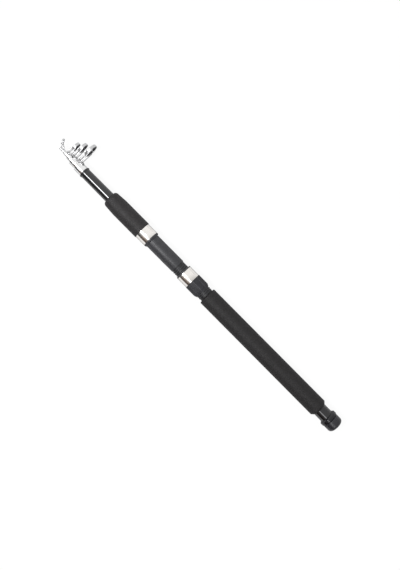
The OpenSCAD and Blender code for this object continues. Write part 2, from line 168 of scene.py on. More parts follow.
view = add_node(tree, "MixRGB", {"Fac": seen_directly(tree)[1], "Color1": dimmed.outputs["Color"],
                                 "Color2": (1, 1, 1, 1)})
tree.links.new(view.outputs["Color"], tree.nodes["Background"].inputs["Color"])


# The lamps: a long dim strip hangs above the rod, a little away from the guides' side, with a
# round soft lamp in it over the front half. They draw the highlight along the lacquer, brightest
# near the tip.
LAMPS = ((CAMERA_PLACE[0], 1.45, 23, "RECTANGLE", (3.0, 0.36), 11.5),
         (0.64, 1.35, 19, "ELLIPSE", (0.42, 0.36), 9))
LAMP_TINT = (0.975, 0.985, 1.0)

for x, away, degrees, shape, size, power in LAMPS:
    tilt = math.radians(degrees)
    bpy.ops.object.light_add(type="AREA", rotation=(-tilt, 0, 0),
                             location=(x, away * math.sin(tilt), away * math.cos(tilt)))
    lamp = bpy.context.object
    lamp.data.shape = shape
    lamp.data.size, lamp.data.size_y = size
    lamp.data.energy = power
    lamp.data.color = LAMP_TINT
    lamp.visible_camera = False


# The table top: a white board that the grips lie on. It shows plain white and keeps a faint
# shadow under the rod, and glossy pieces reflect it as a light grey, with a painted shadow that
# greys it further close to the rod.
BOARD = 6.0
BOARD_GLOW = 0.93
BOARD_WHITE = 0.9
BOARD_GREY_AND_PAINTED_SHADOW = ((0.018, 0.42), (0.042, 0.66))  # distance from the rod's axis, and the tone there

bpy.ops.mesh.primitive_plane_add(size=BOARD, location=(CAMERA_PLACE[0], 0, cad_box[0][2]))
table_top = bpy.context.object
table_top.name = "table_top"
board_white = bpy.data.materials.new("board_white")
board_white.use_nodes = True
tree = board_white.node_tree
path, seen = seen_directly(tree)
share = add_node(tree, "Math", {0: seen, 1: BOARD_GLOW}, operation="MULTIPLY")
# Painted shadow: in glossy reflections the board's grey darkens close to the rod's axis, as a
# contact shadow would.
aside = add_node(tree, "SeparateXYZ", {0: add_node(tree, "TexCoord").outputs["Object"]})
away = add_node(tree, "Math", {0: aside.outputs["Y"]}, operation="ABSOLUTE")
board = add_node(tree, "MixRGB", {"Fac": path.outputs["Is Glossy Ray"],
                                  "Color1": (BOARD_WHITE, BOARD_WHITE, BOARD_WHITE, 1),
                                  "Color2": ramp(tree, away.outputs[0], BOARD_GREY_AND_PAINTED_SHADOW)})
matte = add_node(tree, "BsdfDiffuse", {"Color": board.outputs["Color"]})
glow = add_node(tree, "Emission", {"Color": (1, 1, 1, 1), "Strength": 1.0})
mixed = add_node(tree, "MixShader", {0: share.outputs[0], 1: matte.outputs[0], 2: glow.outputs[0]})
tree.links.new(mixed.outputs[0], tree.nodes["Material Output"].inputs["Surface"])
table_top.data.materials.append(board_white)


# The handle tube: rolled glass fibre, thickest at the butt, lacquered gloss black over the
# faint spiral left by the tape it was baked in. It keeps its CAD solid.
TUBE_BUTT_R = 0.00935
TUBE_MOUTH_R = 0.00685
GLUE = 0.00004
TAPE_PITCH = 0.0021


def procedural(name, **values):
    """A material whose shader has the given values, and the places of its pattern."""
    new = bpy.data.materials.new(name)
    new.use_nodes = True
    shader = new.node_tree.nodes["Principled BSDF"]
    for socket, value in values.items():
        shader.inputs[socket.replace("_", " ")].default_value = value
    return new, new.node_tree, shader, add_node(new.node_tree, "TexCoord").outputs["Object"]


def cloud(tree, place, scale, detail=2.0, stretch=(1, 1, 1)):
    """A noise pattern, with its size in metres."""
    grid = add_node(tree, "Mapping", {"Vector": place, "Scale": [s / scale for s in stretch]})
    return add_node(tree, "TexNoise", {"Vector": grid.outputs[0], "Scale": 1.0,
                                       "Detail": detail}).outputs["Fac"]


def toned(tree, pattern, low, high):
    """A colour that follows a noise pattern from one tone to another."""
    return ramp(tree, pattern, [(NOISE[0], low), (NOISE[1], high)])


def raised(tree, shader, height, distance, strength=1.0, under=None, socket="Normal"):
    """A bump from a pattern of heights, over another bump."""
    bump = add_node(tree, "Bump", {"Height": height, "Distance": distance, "Strength": strength})
    if under:
        tree.links.new(under, bump.inputs["Normal"])
    tree.links.new(bump.outputs["Normal"], shader.inputs[socket])
    return bump.outputs["Normal"]


def keep(finish, *names):
    """CAD nodes that show as they are, in their finish."""
    for name in names:
        nodes[name].data.materials.clear()
        nodes[name].data.materials.append(finish)


lacquer, tree, shader, place = procedural("rod_lacquer", Coat_Weight=1.0, Coat_Roughness=0.035,
                                          Coat_IOR=1.65, Specular_IOR_Level=0.05)
around = add_node(tree, "SeparateXYZ", {0: place})
angle = add_node(tree, "Math", {0: around.outputs["Z"], 1: around.outputs["Y"]},
                 operation="ARCTAN2")
lead = add_node(tree, "Math", {0: angle.outputs[0], 1: TAPE_PITCH / (2 * math.pi)},
                operation="MULTIPLY")
along = add_node(tree, "Math", {0: around.outputs["X"], 1: lead.outputs[0]}, operation="SUBTRACT")
tape = add_node(tree, "Math", {0: along.outputs[0], 1: TAPE_PITCH}, operation="PINGPONG")
raised(tree, shader, tape.outputs[0], 0.02)
raised(tree, shader, cloud(tree, place, 0.003), 0.0001, 0.15, socket="Coat Normal")
fibres = cloud(tree, place, 0.0005, 3.0, (0.05, 1, 1))
tree.links.new(toned(tree, fibres, (0.002, 0.002, 0.0023), (0.006, 0.006, 0.007)),
               shader.inputs["Base Color"])
tree.links.new(between(tree, cloud(tree, place, 0.012), 0.22, 0.36), shader.inputs["Roughness"])
keep(lacquer, "handle_tube")


def tube_r(x):
    """The handle tube's outside radius at a station."""
    butt, mouth = (corner.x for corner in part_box("handle_tube"))
    return TUBE_BUTT_R + (TUBE_MOUTH_R - TUBE_BUTT_R) * (x - butt) / (mouth - butt)


# The butt collar: a turned ring of black plastic, glued over the tube's end, with its front
# edge sloped down to the tube. The cap's threaded bush inside the tube keeps its CAD solid.
COLLAR_SLOPE = 0.0018
COLLAR_EDGE = 0.0004
COLLAR_ROUND = 0.0008
ROUND_STEPS = 96
WELD = 1e-6


def turned(name, profile, edge=0.0, centre=(0, 0, 0), axis=(1, 0, 0)):
    """Draws a profile of (station, radius) corners, turns it about an axis and breaks its edges."""
    line = [Vector(centre) + x * Vector(axis) + Vector((0, 0, r)) for x, r in profile]
    if profile[0][1] > 0:
        line.append(line[0])
    draw(line[0], [there - here for here, there in zip(line, line[1:])])
    bpy.ops.mesh.spin(steps=ROUND_STEPS, angle=2 * math.pi, center=centre, axis=axis)
    close_up()
    piece = bpy.context.object
    piece.name = name
    piece.data.name = name
    if edge:
        break_edges(piece, edge)
    smooth(piece)
    return piece


def draw(start, steps):
    """Draws a line in a new mesh, step by step from a point, and selects it in edit mode."""
    bpy.ops.object.select_all(action="DESELECT")
    bpy.ops.mesh.primitive_plane_add(size=0.001, enter_editmode=True, location=(0, 0, 0))
    bpy.ops.mesh.merge(type="CENTER")
    bpy.ops.transform.translate(value=start)
    for step in steps:
        bpy.ops.mesh.extrude_vertices_move(TRANSFORM_OT_translate={"value": step})
    bpy.ops.mesh.select_all(action="SELECT")


def close_up():
    """Merges a mesh's seams, turns its faces outwards and leaves edit mode."""
    bpy.ops.mesh.select_all(action="SELECT")
    bpy.ops.mesh.remove_doubles(threshold=WELD)
    bpy.ops.mesh.normals_make_consistent(inside=False)
    bpy.ops.object.mode_set(mode="OBJECT")


def pick(*pieces):
    """Selects only the given pieces, with the first as the active one."""
    bpy.ops.object.select_all(action="DESELECT")
    for piece in pieces:
        piece.select_set(True)
    bpy.context.view_layer.objects.active = pieces[0]


def apply(piece, kind, **settings):
    """Adds a modifier and applies it."""
    pick(piece)
    new = piece.modifiers.new(kind.lower(), kind)
    for name, value in settings.items():
        setattr(new, name, value)
    bpy.ops.object.modifier_apply(modifier=new.name)


def break_edges(piece, edge, limit=25, segments=3):
    """Rounds a piece's sharp edges."""
    apply(piece, "BEVEL", width=edge, segments=segments, limit_method="ANGLE",
          angle_limit=math.radians(limit))
    clear_slivers()


def clear_slivers():
    """Takes out faces with no width that a cut or a bevel leaves on the active piece."""
    bpy.ops.object.mode_set(mode="EDIT")
    bpy.ops.mesh.select_all(action="SELECT")
    bpy.ops.mesh.dissolve_degenerate(threshold=WELD)
    bpy.ops.object.mode_set(mode="OBJECT")


def smooth(piece, angle=30):
    """Smooth shading with sharp edges left sharp."""
    pick(piece)
    bpy.ops.object.shade_smooth_by_angle(angle=math.radians(angle))


def fit(piece, node, finish):
    """Puts a finished piece in its CAD node's place, on its body and in its finish."""
    piece.data.materials.clear()
    piece.data.materials.append(finish)
    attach(piece, body_of(nodes[node])[0])
    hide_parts(node)
    return piece


def ends(node):
    """A turned CAD node's first and last station and its largest radius."""
    low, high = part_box(node)
    return low.x, high.x, high.z


def quarter(x0, r0, x1, r1, steps=12):
    """A quarter ellipse in a profile, upright at its first point and level at its last."""
    turns = [math.pi / 2 * i / steps for i in range(steps + 1)]
    return [(x0 + (x1 - x0) * (1 - math.cos(t)), r0 + (r1 - r0) * math.sin(t)) for t in turns]


def moulded(name, low, high, rough):
    """Black moulded plastic with a fine grain, between two tones and in a range of roughness."""
    plastic, tree, shader, place = procedural(name, IOR=1.5)
    raised(tree, shader, cloud(tree, place, 0.00025, 3.0), 0.00003, 0.5 * rough[1])
    tree.links.new(toned(tree, cloud(tree, place, 0.006, 4.0), low, high),
                   shader.inputs["Base Color"])
    tree.links.new(between(tree, cloud(tree, place, 0.004, 4.0), *rough),
                   shader.inputs["Roughness"])
    return plastic


collar_gloss = moulded("collar_gloss", low=(0.004, 0.004, 0.005), high=(0.009, 0.009, 0.011),
                       rough=(0.1, 0.17))
cap_plastic = moulded("cap_plastic", low=(0.011, 0.011, 0.0135), high=(0.017, 0.017, 0.0205),
                      rough=(0.25, 0.34))
keep(cap_plastic, "butt_bush")

x0, x1, r = ends("butt_collar")
bore = tube_r(x0) + GLUE
back = quarter(x0, r - COLLAR_ROUND, x0 + COLLAR_ROUND, r, steps=6)
collar = turned("end_collar", [(x0, bore)] + back + [
    (x1 - COLLAR_SLOPE, r), (x1, bore + COLLAR_EDGE), (x1, bore)], COLLAR_EDGE)
fit(collar, "butt_collar", collar_gloss)


# The butt cap: black plastic with a rounded end and a small flat, moulded in one with the
# hollow plug that screws into the bush. The plug's thread is cut, so it shows when it is out.
CAP_LEN = 0.0126
CAP_DOME = 0.0046
CAP_FLAT_R = 0.0053
CAP_BEVEL = 0.0009
CAP_EDGE = 0.0003
PLUG_R = 0.00644
PLUG_BORE = 0.00475
PLUG_HOLLOW = 0.0061
PLUG_PITCH = 0.0015
PLUG_TURNS = 6
PLUG_CUT = 0.0005
PLUG_START = 0.0012
PLUG_RIDGE = (0.0012, 0.0003)  # a ridge's width at its foot and at its top
RIDGE_SUNK = 0.0002


def wind(piece, x0, pitch, turns, foot_r, top_r, foot_w, top_w):
    """Winds a thread's ridge round the rod's axis and joins it to a piece."""
    slope = (foot_w - top_w) / 2
    rise = top_r - foot_r
    draw((x0, 0, foot_r), [(slope, 0, rise), (top_w, 0, 0), (slope, 0, -rise), (-foot_w, 0, 0)])
    bpy.ops.mesh.remove_doubles(threshold=WELD)
    bpy.ops.object.mode_set(mode="OBJECT")
    ridge = bpy.context.object
    apply(ridge, "SCREW", axis="X", angle=2 * math.pi, screw_offset=pitch, iterations=turns,
          steps=ROUND_STEPS // 2, render_steps=ROUND_STEPS // 2)
    bpy.ops.object.mode_set(mode="EDIT")
    bpy.ops.mesh.select_all(action="SELECT")
    bpy.ops.mesh.fill_holes(sides=0)
    close_up()
    merge(piece, ridge, "UNION")


def merge(piece, other, operation):
    """Joins another shape to a piece, cuts it out of it or keeps what both share."""
    apply(piece, "BOOLEAN", operation=operation, object=other, solver="EXACT")
    bpy.data.objects.remove(other)
    clear_slivers()


x0, x1, r = ends("butt_cap")
shoulder = x0 + CAP_LEN
root = PLUG_R - PLUG_CUT
cap = turned("end_cap", [(x0, 0)] + quarter(x0, CAP_FLAT_R, x0 + CAP_DOME, r) + [
    (shoulder - CAP_BEVEL, r), (shoulder, r - CAP_BEVEL), (shoulder, PLUG_R),
    (shoulder + PLUG_START, PLUG_R), (shoulder + PLUG_START, root), (x1, root), (x1, PLUG_BORE),
    (x1 - PLUG_HOLLOW, PLUG_BORE), (x1 - PLUG_HOLLOW, 0)], CAP_EDGE)
wind(cap, shoulder + PLUG_START, PLUG_PITCH, PLUG_TURNS, root - RIDGE_SUNK, PLUG_R, *PLUG_RIDGE)
smooth(cap)
fit(cap, "butt_cap", cap_plastic)


# The cap's cushion: a disc of black rubber foam on a stem, pushed into the hollow plug. The
# closed sections' butts land on it.
CUSHION_STEM_R = 0.00465
CUSHION_DISC = 0.003
CUSHION_EDGE = 0.0006

cushion_foam, tree, shader, place = procedural("cushion_foam", Roughness=0.9)
cells = add_node(tree, "TexVoronoi", {"Vector": place, "Scale": 1500.0})
raised(tree, shader, cells.outputs["Distance"], 0.0002, 0.5)
mottle = cloud(tree, place, 0.0012, 4.0)
tree.links.new(toned(tree, mottle, (0.022, 0.022, 0.023), (0.044, 0.043, 0.042)),
               shader.inputs["Base Color"])
x0, x1, r = ends("cap_pad")
face = x1 - CUSHION_DISC
pad = turned("end_cushion", [(x0, 0), (x0, CUSHION_STEM_R), (face, CUSHION_STEM_R), (face, r),
                             (x1, r), (x1, 0)], CUSHION_EDGE)
fit(pad, "cap_pad", cushion_foam)


# The rear grip: a long sleeve of black EVA foam, turned and sanded, pushed over the tube with
# glue. Its back end is cut to a cone and its front edge is rounded over.
GRIP_CONE = 0.003
GRIP_END_WALL = 0.0004
GRIP_ROUND = 0.0016
GRIP_EDGE = 0.0005


def eva(name, tone, rough, shine):
    """Black EVA foam with open cells and sanding marks, in a tone and a range of roughness, with
    painted shade in its cells.
    """
    foam, tree, shader, place = procedural(name, Specular_IOR_Level=shine)
    cells = add_node(tree, "TexVoronoi", {"Vector": place, "Scale": 2200.0})
    pits = between(tree, cells.outputs["Distance"], 0.0, 1.0, 0.1, 0.5)
    sanded = cloud(tree, place, 0.0004, 3.0, (1, 0.08, 0.08))
    raised(tree, shader, sanded, 0.00008, 0.25, raised(tree, shader, pits, 0.0001, 0.45))
    mottle = cloud(tree, place, 0.0035, 6.0)
    warm = Vector((1.14, 0.98, 1.03)) * tone
    sheen = ramp(tree, mottle, [(0.3, tuple(0.7 * warm)), (0.5, tuple(warm)),
                                (0.72, tuple(1.45 * warm))])
    # Painted shade: the cells' pits are darkened to near black.
    painted_pore_shade = add_node(tree, "MixRGB", {"Fac": between(tree, pits, 0.75, 0.0, 0.0, 0.6),
                                      "Color1": sheen, "Color2": (0.0005, 0.0005, 0.0005, 1)})
    tree.links.new(painted_pore_shade.outputs["Color"], shader.inputs["Base Color"])
    tree.links.new(between(tree, cloud(tree, place, 0.0016, 4.0), *rough),
                   shader.inputs["Roughness"])
    return foam


x0, x1, r = ends("rear_grip")
bore = tube_r(x0) + GLUE
front = quarter(x1, r - GRIP_ROUND, x1 - GRIP_ROUND, r, steps=6)
grip = turned("long_grip", [(x0, bore), (x0, bore + GRIP_END_WALL), (x0 + GRIP_CONE, r)]
              + front[::-1] + [(x1, tube_r(x1) + GLUE)], GRIP_EDGE)
fit(grip, "rear_grip", eva("grip_foam", tone=0.0071, rough=(0.6, 0.72), shine=0.38))


# The reel seat's barrel: a tube of satin black plastic on two arbors that are glued to the rod.
# Its back half has the thread for the nut, and a raised flat bed for the reel's foot is moulded
# on the guides' side, with lower flats under the hoods and a keyway opposite.
BARREL_R = 0.01008
BARREL_BORE = 0.008679
BARREL_EDGE = 0.0003
THREAD_PITCH = 0.00275
THREAD_DEPTH = 0.0006
THREAD_TURNS = 18
THREAD_START = 0.0008
THREAD_END = 0.2902
THREAD_RIDGE = (0.0021, 0.0008)
THREAD_CREST = 0.0001
BED_END = 0.3362
BED_HALF = 0.0035
BED_Y = 0.00988
BED_FOOT_Y = 0.009
TOE_Y = 0.00913
TOE_START = 0.2603
TOE_END = 0.3493
KEYWAY_START = 0.2556
KEYWAY_END = 0.3011
KEYWAY_Y = 0.00938
KEYWAY_HALF = 0.0016
CLEAR = 0.02  # well outside the seat, where a cutting block ends


def block(x0, x1, y0, y1, z0, z1):
    """A box between two corners, to add to a piece or cut from it."""
    bpy.ops.object.select_all(action="DESELECT")
    bpy.ops.mesh.primitive_cube_add(size=1, enter_editmode=True, location=(0, 0, 0))
    bpy.ops.transform.resize(value=(x1 - x0, y1 - y0, z1 - z0))
    bpy.ops.transform.translate(value=((x0 + x1) / 2, (y0 + y1) / 2, (z0 + z1) / 2))
    bpy.ops.object.mode_set(mode="OBJECT")
    return bpy.context.object


seat_plastic, tree, shader, place = procedural("seat_plastic", IOR=1.5)
grain = cloud(tree, place, 0.00022, 3.0)
raised(tree, shader, grain, 0.00003, 0.5)
tone = toned(tree, cloud(tree, place, 0.007, 4.0), (0.019, 0.019, 0.0216), (0.028, 0.028, 0.0315))
# Painted shade: the base colour darkens to near black in the thread's valleys, between its root and
# its crest.
across = add_node(tree, "Mapping", {"Vector": place, "Scale": (0, 1, 1)})
radius = add_node(tree, "VectorMath", {0: across.outputs[0]}, operation="LENGTH")
root = BARREL_R - THREAD_DEPTH
painted_valley_shade = between(tree, radius.outputs["Value"], 0.8, 0.0, root, BARREL_R - THREAD_CREST)
shade = add_node(tree, "MixRGB", {"Fac": painted_valley_shade, "Color1": tone,
                                  "Color2": (0.002, 0.002, 0.002, 1)})
tree.links.new(shade.outputs["Color"], shader.inputs["Base Color"])
tree.links.new(between(tree, cloud(tree, place, 0.004, 4.0), 0.42, 0.52),
               shader.inputs["Roughness"])
keep(seat_plastic, "rear_arbor", "front_arbor")

x0, x1, _ = ends("seat_barrel")
barrel = turned("seat_tube", [(x0, BARREL_BORE), (x0, root), (THREAD_END, root),
                              (THREAD_END, BARREL_R), (x1, BARREL_R), (x1, BARREL_BORE)],
                BARREL_EDGE)
wind(barrel, x0 + THREAD_START, THREAD_PITCH, THREAD_TURNS, root - RIDGE_SUNK, BARREL_R,
     *THREAD_RIDGE)
bed = block(THREAD_END, BED_END, -BARREL_R, -BED_FOOT_Y, -BED_HALF, BED_HALF)
merge(barrel, bed, "UNION")
for start, end, floor in ((THREAD_END, BED_END, BED_Y), (TOE_START, THREAD_END, TOE_Y),
                          (BED_END, TOE_END, TOE_Y)):
    merge(barrel, block(start, end, -CLEAR, -floor, -CLEAR, CLEAR), "DIFFERENCE")
keyway = block(KEYWAY_START, KEYWAY_END, KEYWAY_Y, CLEAR, -KEYWAY_HALF, KEYWAY_HALF)
merge(barrel, keyway, "DIFFERENCE")
smooth(barrel)
fit(barrel, "seat_barrel", seat_plastic)


# The two hoods that hold the reel's foot: each is a plastic liner with a sloped lip and a pocket
# for the foot's toe, inside a polished metal sleeve with rolled edges. The front hood is glued
# to the barrel, and the back one slides on it with a key.
HOOD_LEN = 0.0154
LINER_BORE = 0.01018
LINER_EDGE = 0.00015
LIP_SLOPE = 0.0017
LIP_WALL = 0.0003
POCKET_LEN = 0.013
POCKET_HALF = 0.006
POCKET_SPARE = 0.001
KEY_Y = (0.00948, 0.0105)
KEY_HALF = 0.0015
SLEEVE_WALL = 0.0005
SLEEVE_EDGE = 0.00022


def plated(name, low, high):
    """Polished metal, turned and rubbed round the rod, between two tones."""
    metal, tree, shader, place = procedural(name, Metallic=1.0)
    brushed = cloud(tree, place, 0.00012, 2.0, (1, 0.02, 0.02))
    raised(tree, shader, brushed, 0.000004, 0.35)
    smudge = cloud(tree, place, 0.008, 5.0)
    tree.links.new(toned(tree, smudge, low, high), shader.inputs["Base Color"])
    rough = add_node(tree, "Math", {0: between(tree, smudge, 0.09, 0.17),
                                    1: between(tree, brushed, -0.02, 0.03)}, operation="ADD")
    tree.links.new(rough.outputs[0], shader.inputs["Roughness"])
    return metal


nickel = plated("warm_nickel", (0.85, 0.82, 0.785), (0.91, 0.88, 0.845))

for name, facing in (("fixed", -1), ("moving", 1)):
    x0, x1, sleeve_r = ends(name + "_hood_sleeve")
    sleeve_bore = sleeve_r - SLEEVE_WALL
    sleeve = turned(name + "_hood_band", [(x0, sleeve_bore), (x0, sleeve_r), (x1, sleeve_r),
                                          (x1, sleeve_bore)], SLEEVE_EDGE)
    fit(sleeve, name + "_hood_sleeve", nickel)
    x0, x1, _ = ends(name + "_hood_liner")
    back, mouth = (x0, x1) if facing > 0 else (x1, x0)
    neck = back + facing * HOOD_LEN
    liner_r = sleeve_bore - GLUE
    liner = turned(name + "_hood_lip", [
        (back, LINER_BORE), (back, liner_r), (neck, liner_r), (neck, sleeve_r),
        (mouth - facing * LIP_SLOPE, sleeve_r), (mouth, LINER_BORE + LIP_WALL),
        (mouth, LINER_BORE)])
    inner, outer = sorted((mouth - facing * POCKET_LEN, mouth + facing * POCKET_SPARE))
    pocket = turned("pocket", [(inner, 0), (inner, sleeve_bore), (outer, sleeve_bore), (outer, 0)])
    sides = block(inner - POCKET_SPARE, outer + POCKET_SPARE, -CLEAR, 0, -POCKET_HALF, POCKET_HALF)
    merge(pocket, sides, "INTERSECT")
    merge(liner, pocket, "DIFFERENCE")
    if facing > 0:
        merge(liner, block(x0, x0 + HOOD_LEN, *KEY_Y, -KEY_HALF, KEY_HALF), "UNION")
    break_edges(liner, LINER_EDGE, limit=30, segments=2)
    smooth(liner)
    fit(liner, name + "_hood_liner", seat_plastic)


# The lock nut: satin black plastic with ten flats for the fingers and a sloped back end. It
# runs on the barrel's thread and pushes the moving hood.
NUT_FLATS = 10
NUT_R = 0.01218
NUT_CORNER_R = 0.01233
NUT_BLANK = 0.03
NUT_SLOPE = 0.0043
NUT_BEVEL = 0.0003
NUT_EDGE = 0.0004
RIDGE_WEAR_AND_HIGHLIGHT = math.radians(2.5)

nut_plastic, tree, shader, place = procedural("nut_plastic", Specular_IOR_Level=0.17)
raised(tree, shader, cloud(tree, place, 0.0002, 3.0), 0.00003, 0.6)
tone = toned(tree, cloud(tree, place, 0.005, 4.0), (0.021, 0.021, 0.0235), (0.03, 0.03, 0.0335))
around = add_node(tree, "SeparateXYZ", {0: place})
angle = add_node(tree, "Math", {0: around.outputs["Y"], 1: around.outputs["Z"]},
                 operation="ARCTAN2")
# The flats' corners are lighter in patches: partly rubbed wear, partly a painted highlight along
# the corners.
ridge = add_node(tree, "Math", {0: angle.outputs[0], 1: math.pi / NUT_FLATS}, operation="PINGPONG")
patches = between(tree, cloud(tree, place, 0.0008, 4.0), 0.3, 1.0)
rubbed = add_node(tree, "Math", {0: between(tree, ridge.outputs[0], 1.0, 0.0, 0.0, RIDGE_WEAR_AND_HIGHLIGHT),
                                 1: patches}, operation="MULTIPLY")
worn_and_highlit = add_node(tree, "MixRGB", {"Fac": rubbed.outputs[0], "Color1": tone,
                                 "Color2": (0.085, 0.085, 0.092, 1)})
tree.links.new(worn_and_highlit.outputs["Color"], shader.inputs["Base Color"])
tree.links.new(between(tree, cloud(tree, place, 0.003, 4.0), 0.46, 0.56),
               shader.inputs["Roughness"])
x0, x1, _ = ends("lock_nut")
nut = turned("finger_nut", [(x0, LINER_BORE), (x0, LINER_BORE + LIP_WALL), (x0 + NUT_SLOPE, NUT_R),
                            (x1 - NUT_BEVEL, NUT_R), (x1, NUT_R - NUT_BEVEL), (x1, LINER_BORE)])
bpy.ops.object.select_all(action="DESELECT")
bpy.ops.mesh.primitive_cylinder_add(vertices=NUT_FLATS, radius=NUT_CORNER_R, depth=NUT_BLANK,
                                    rotation=(math.pi / 2, 0, math.pi / 2),
                                    location=((x0 + x1) / 2, 0, 0))
merge(nut, bpy.context.object, "INTERSECT")
break_edges(nut, NUT_EDGE, limit=12, segments=2)
smooth(nut)
fit(nut, "lock_nut", nut_plastic)


# The foregrip: EVA foam like the rear grip's, sanded finer, cut flat behind where it meets the
# front hood, and tapered in front to a blunt, rounded nose.
NOSE_LEN = 0.018
NOSE_ROUND = 0.004
NOSE_DROP = 0.0012
NOSE_WALL = 0.0012

x0, x1, r = ends("foregrip")
bore = tube_r(x1) + GLUE
front = quarter(x1, bore + NOSE_WALL, x1 - NOSE_ROUND, r - NOSE_DROP, steps=24)
nose = [(x, rise + NOSE_DROP * (x1 - x) / NOSE_LEN) for x, rise in front]
front_grip = turned("short_grip", [(x0, tube_r(x0) + GLUE), (x0, r), (x1 - NOSE_LEN, r)]
                    + nose[::-1] + [(x1, bore)], GRIP_EDGE)
fit(front_grip, "foregrip", eva("foregrip_foam", tone=0.0108, rough=(0.56, 0.68), shine=0.43))


# The mouth ring: a turn of thread round the end of the handle tube, drowned in the same black
# lacquer, so that it stands up as a smooth bead.
BEAD_CROWN = 0.0004
BEAD_STEPS = 12

x0, x1, r = ends("mouth_ring")
bead_r = tube_r(x0) + GLUE
half = (x1 - x0) / 2
crown = [(x0 + half * (1 - math.cos(t)), r - BEAD_CROWN * (1 - math.sin(t)))
         for t in [math.pi * i / BEAD_STEPS for i in range(BEAD_STEPS + 1)]]
bead = turned("mouth_bead", [(x0, bead_r)] + crown + [(x1, bead_r)])
fit(bead, "mouth_ring", lacquer)


# The nested sections: four rolled tapers in the same lacquer, each swollen at its butt so that
# it jams in the mouth before it. They keep their CAD solids.
keep(lacquer, "section_2_tube", "section_3_tube", "section_4_tube", "tip_rod")


# The end collars: bright metal sleeves with rolled rims, glued on the front of each section.
# Each stops the section as it closes and carries its guide.
RIM = 0.0003
RIM_BORES = {"section_2": 0.00574, "section_3": 0.00449, "section_4": 0.00299, "tip": 0.00134}

bright = plated("bright_metal", (0.79, 0.79, 0.79), (0.87, 0.87, 0.87))

for name, bore in RIM_BORES.items():
    x0, x1, r = ends(name + "_collar")
    rim = turned(name + "_end_sleeve", [(x0, bore), (x0, r), (x1, r), (x1, bore)], RIM)
    fit(rim, name + "_collar", bright)


# The line guides on sections 2, 3 and 4: a ring of dark polished ceramic pressed into a metal
# hoop, which stands on four brazed wire legs and a curved foot on the section's collar.
HOOP_WALL = 0.0011
INSERT_WALL = 0.0014
INSERT_RECESS = 0.0006
LEG_R = 0.00055
LEG_SPREAD = 0.0023
LEG_LAP = 0.00035
FOOT_WALL = 0.0008
FOOT_EDGE = 0.3  # of the plate's wall
FOOT_STEPS = (6, 20)  # along the rod and round it
FOOT_ANGLE = math.radians(40)
LEG_TOP_ANGLE = math.radians(12)
BRAZE = ((0, 1.7), (0.05, 1.35), (0.11, 1.1), (0.17, 1), (0.93, 1), (0.97, 1.08),
         (1, 0.9))  # the part of a leg's length, and how far it is spread there
FOOT_DARK_REACH = 0.0026


def fired(name, low, high):
    """Fired and polished ceramic, between two tones."""
    ceramic, tree, shader, place = procedural(name, IOR=1.5)
    skin = cloud(tree, place, 0.0006, 5.0)
    raised(tree, shader, skin, 0.00001, 0.3)
    tree.links.new(toned(tree, cloud(tree, place, 0.002, 4.0), low, high),
                   shader.inputs["Base Color"])
    tree.links.new(between(tree, skin, 0.1, 0.2), shader.inputs["Roughness"])
    return ceramic


def rounded_ring(r, wall, depth, steps=10):
    """The section of a ring with half-round rims, from its outside round to its outside again."""
    bend = min(wall, depth) / 2
    corners = ((depth / 2 - bend, r - bend, 0), (depth / 2 - bend, r - wall + bend, 1),
               (-depth / 2 + bend, r - wall + bend, 2), (-depth / 2 + bend, r - bend, 3))
    points = []
    for x, y, k in corners:
        for i in range(steps + 1):
            t = math.pi / 2 * (1 - k - i / steps)
            points.append((x + bend * math.cos(t), y + bend * math.sin(t)))
    return points


def wire(base, top, r):
    """A straight round wire as a mesh, spread at its ends where it is brazed."""
    bpy.ops.object.select_all(action="DESELECT")
    bpy.ops.curve.primitive_bezier_curve_add(location=(0, 0, 0))
    line = bpy.context.object
    spline = line.data.splines[0]
    spline.bezier_points.add(len(BRAZE) - 2)
    for knot, (share, spread) in zip(spline.bezier_points, BRAZE):
        knot.co = base.lerp(top, share)
        knot.radius = spread
        knot.handle_left_type = knot.handle_right_type = "VECTOR"
    line.data.bevel_depth = r
    line.data.bevel_resolution = 4
    line.data.resolution_u = 8
    line.data.use_fill_caps = True
    bpy.ops.object.convert(target="MESH")
    bpy.ops.object.mode_set(mode="EDIT")
    close_up()
    return bpy.context.object


def saddle(r, wall, angle, x0, x1):
    """A curved foot plate on the guides' side of a sleeve."""
    along, around = FOOT_STEPS
    draw((x0, -r * math.cos(angle), -r * math.sin(angle)), [((x1 - x0) / along, 0, 0)] * along)
    bpy.ops.mesh.spin(steps=around, angle=2 * angle, center=(0, 0, 0), axis=(1, 0, 0))
    close_up()
    plate = bpy.context.object
    apply(plate, "SOLIDIFY", thickness=wall, offset=1)
    break_edges(plate, wall * FOOT_EDGE, limit=40, segments=2)
    return plate


def join(name, pieces, feet):
    """Joins shapes into one piece and marks how near each point is to its feet."""
    pick(*pieces)
    bpy.ops.object.join()
    joined = bpy.context.object
    joined.name = name
    joined.data.name = name
    smooth(joined, angle=35)
    heat = joined.data.attributes.new("heat", "FLOAT", "POINT")
    for vertex in joined.data.vertices:
        near = min((vertex.co - foot).length for foot in feet)
        heat.data[vertex.index].value = max(0.0, 1 - near / FOOT_DARK_REACH)
    return joined


guide_metal, tree, shader, place = procedural("guide_metal", Metallic=0.8)
rubbed = cloud(tree, place, 0.00012, 3.0)
smudge = cloud(tree, place, 0.005, 4.0)
raised(tree, shader, rubbed, 0.000006, 0.3)
tone = toned(tree, smudge, (0.52, 0.52, 0.525), (0.6, 0.6, 0.605))
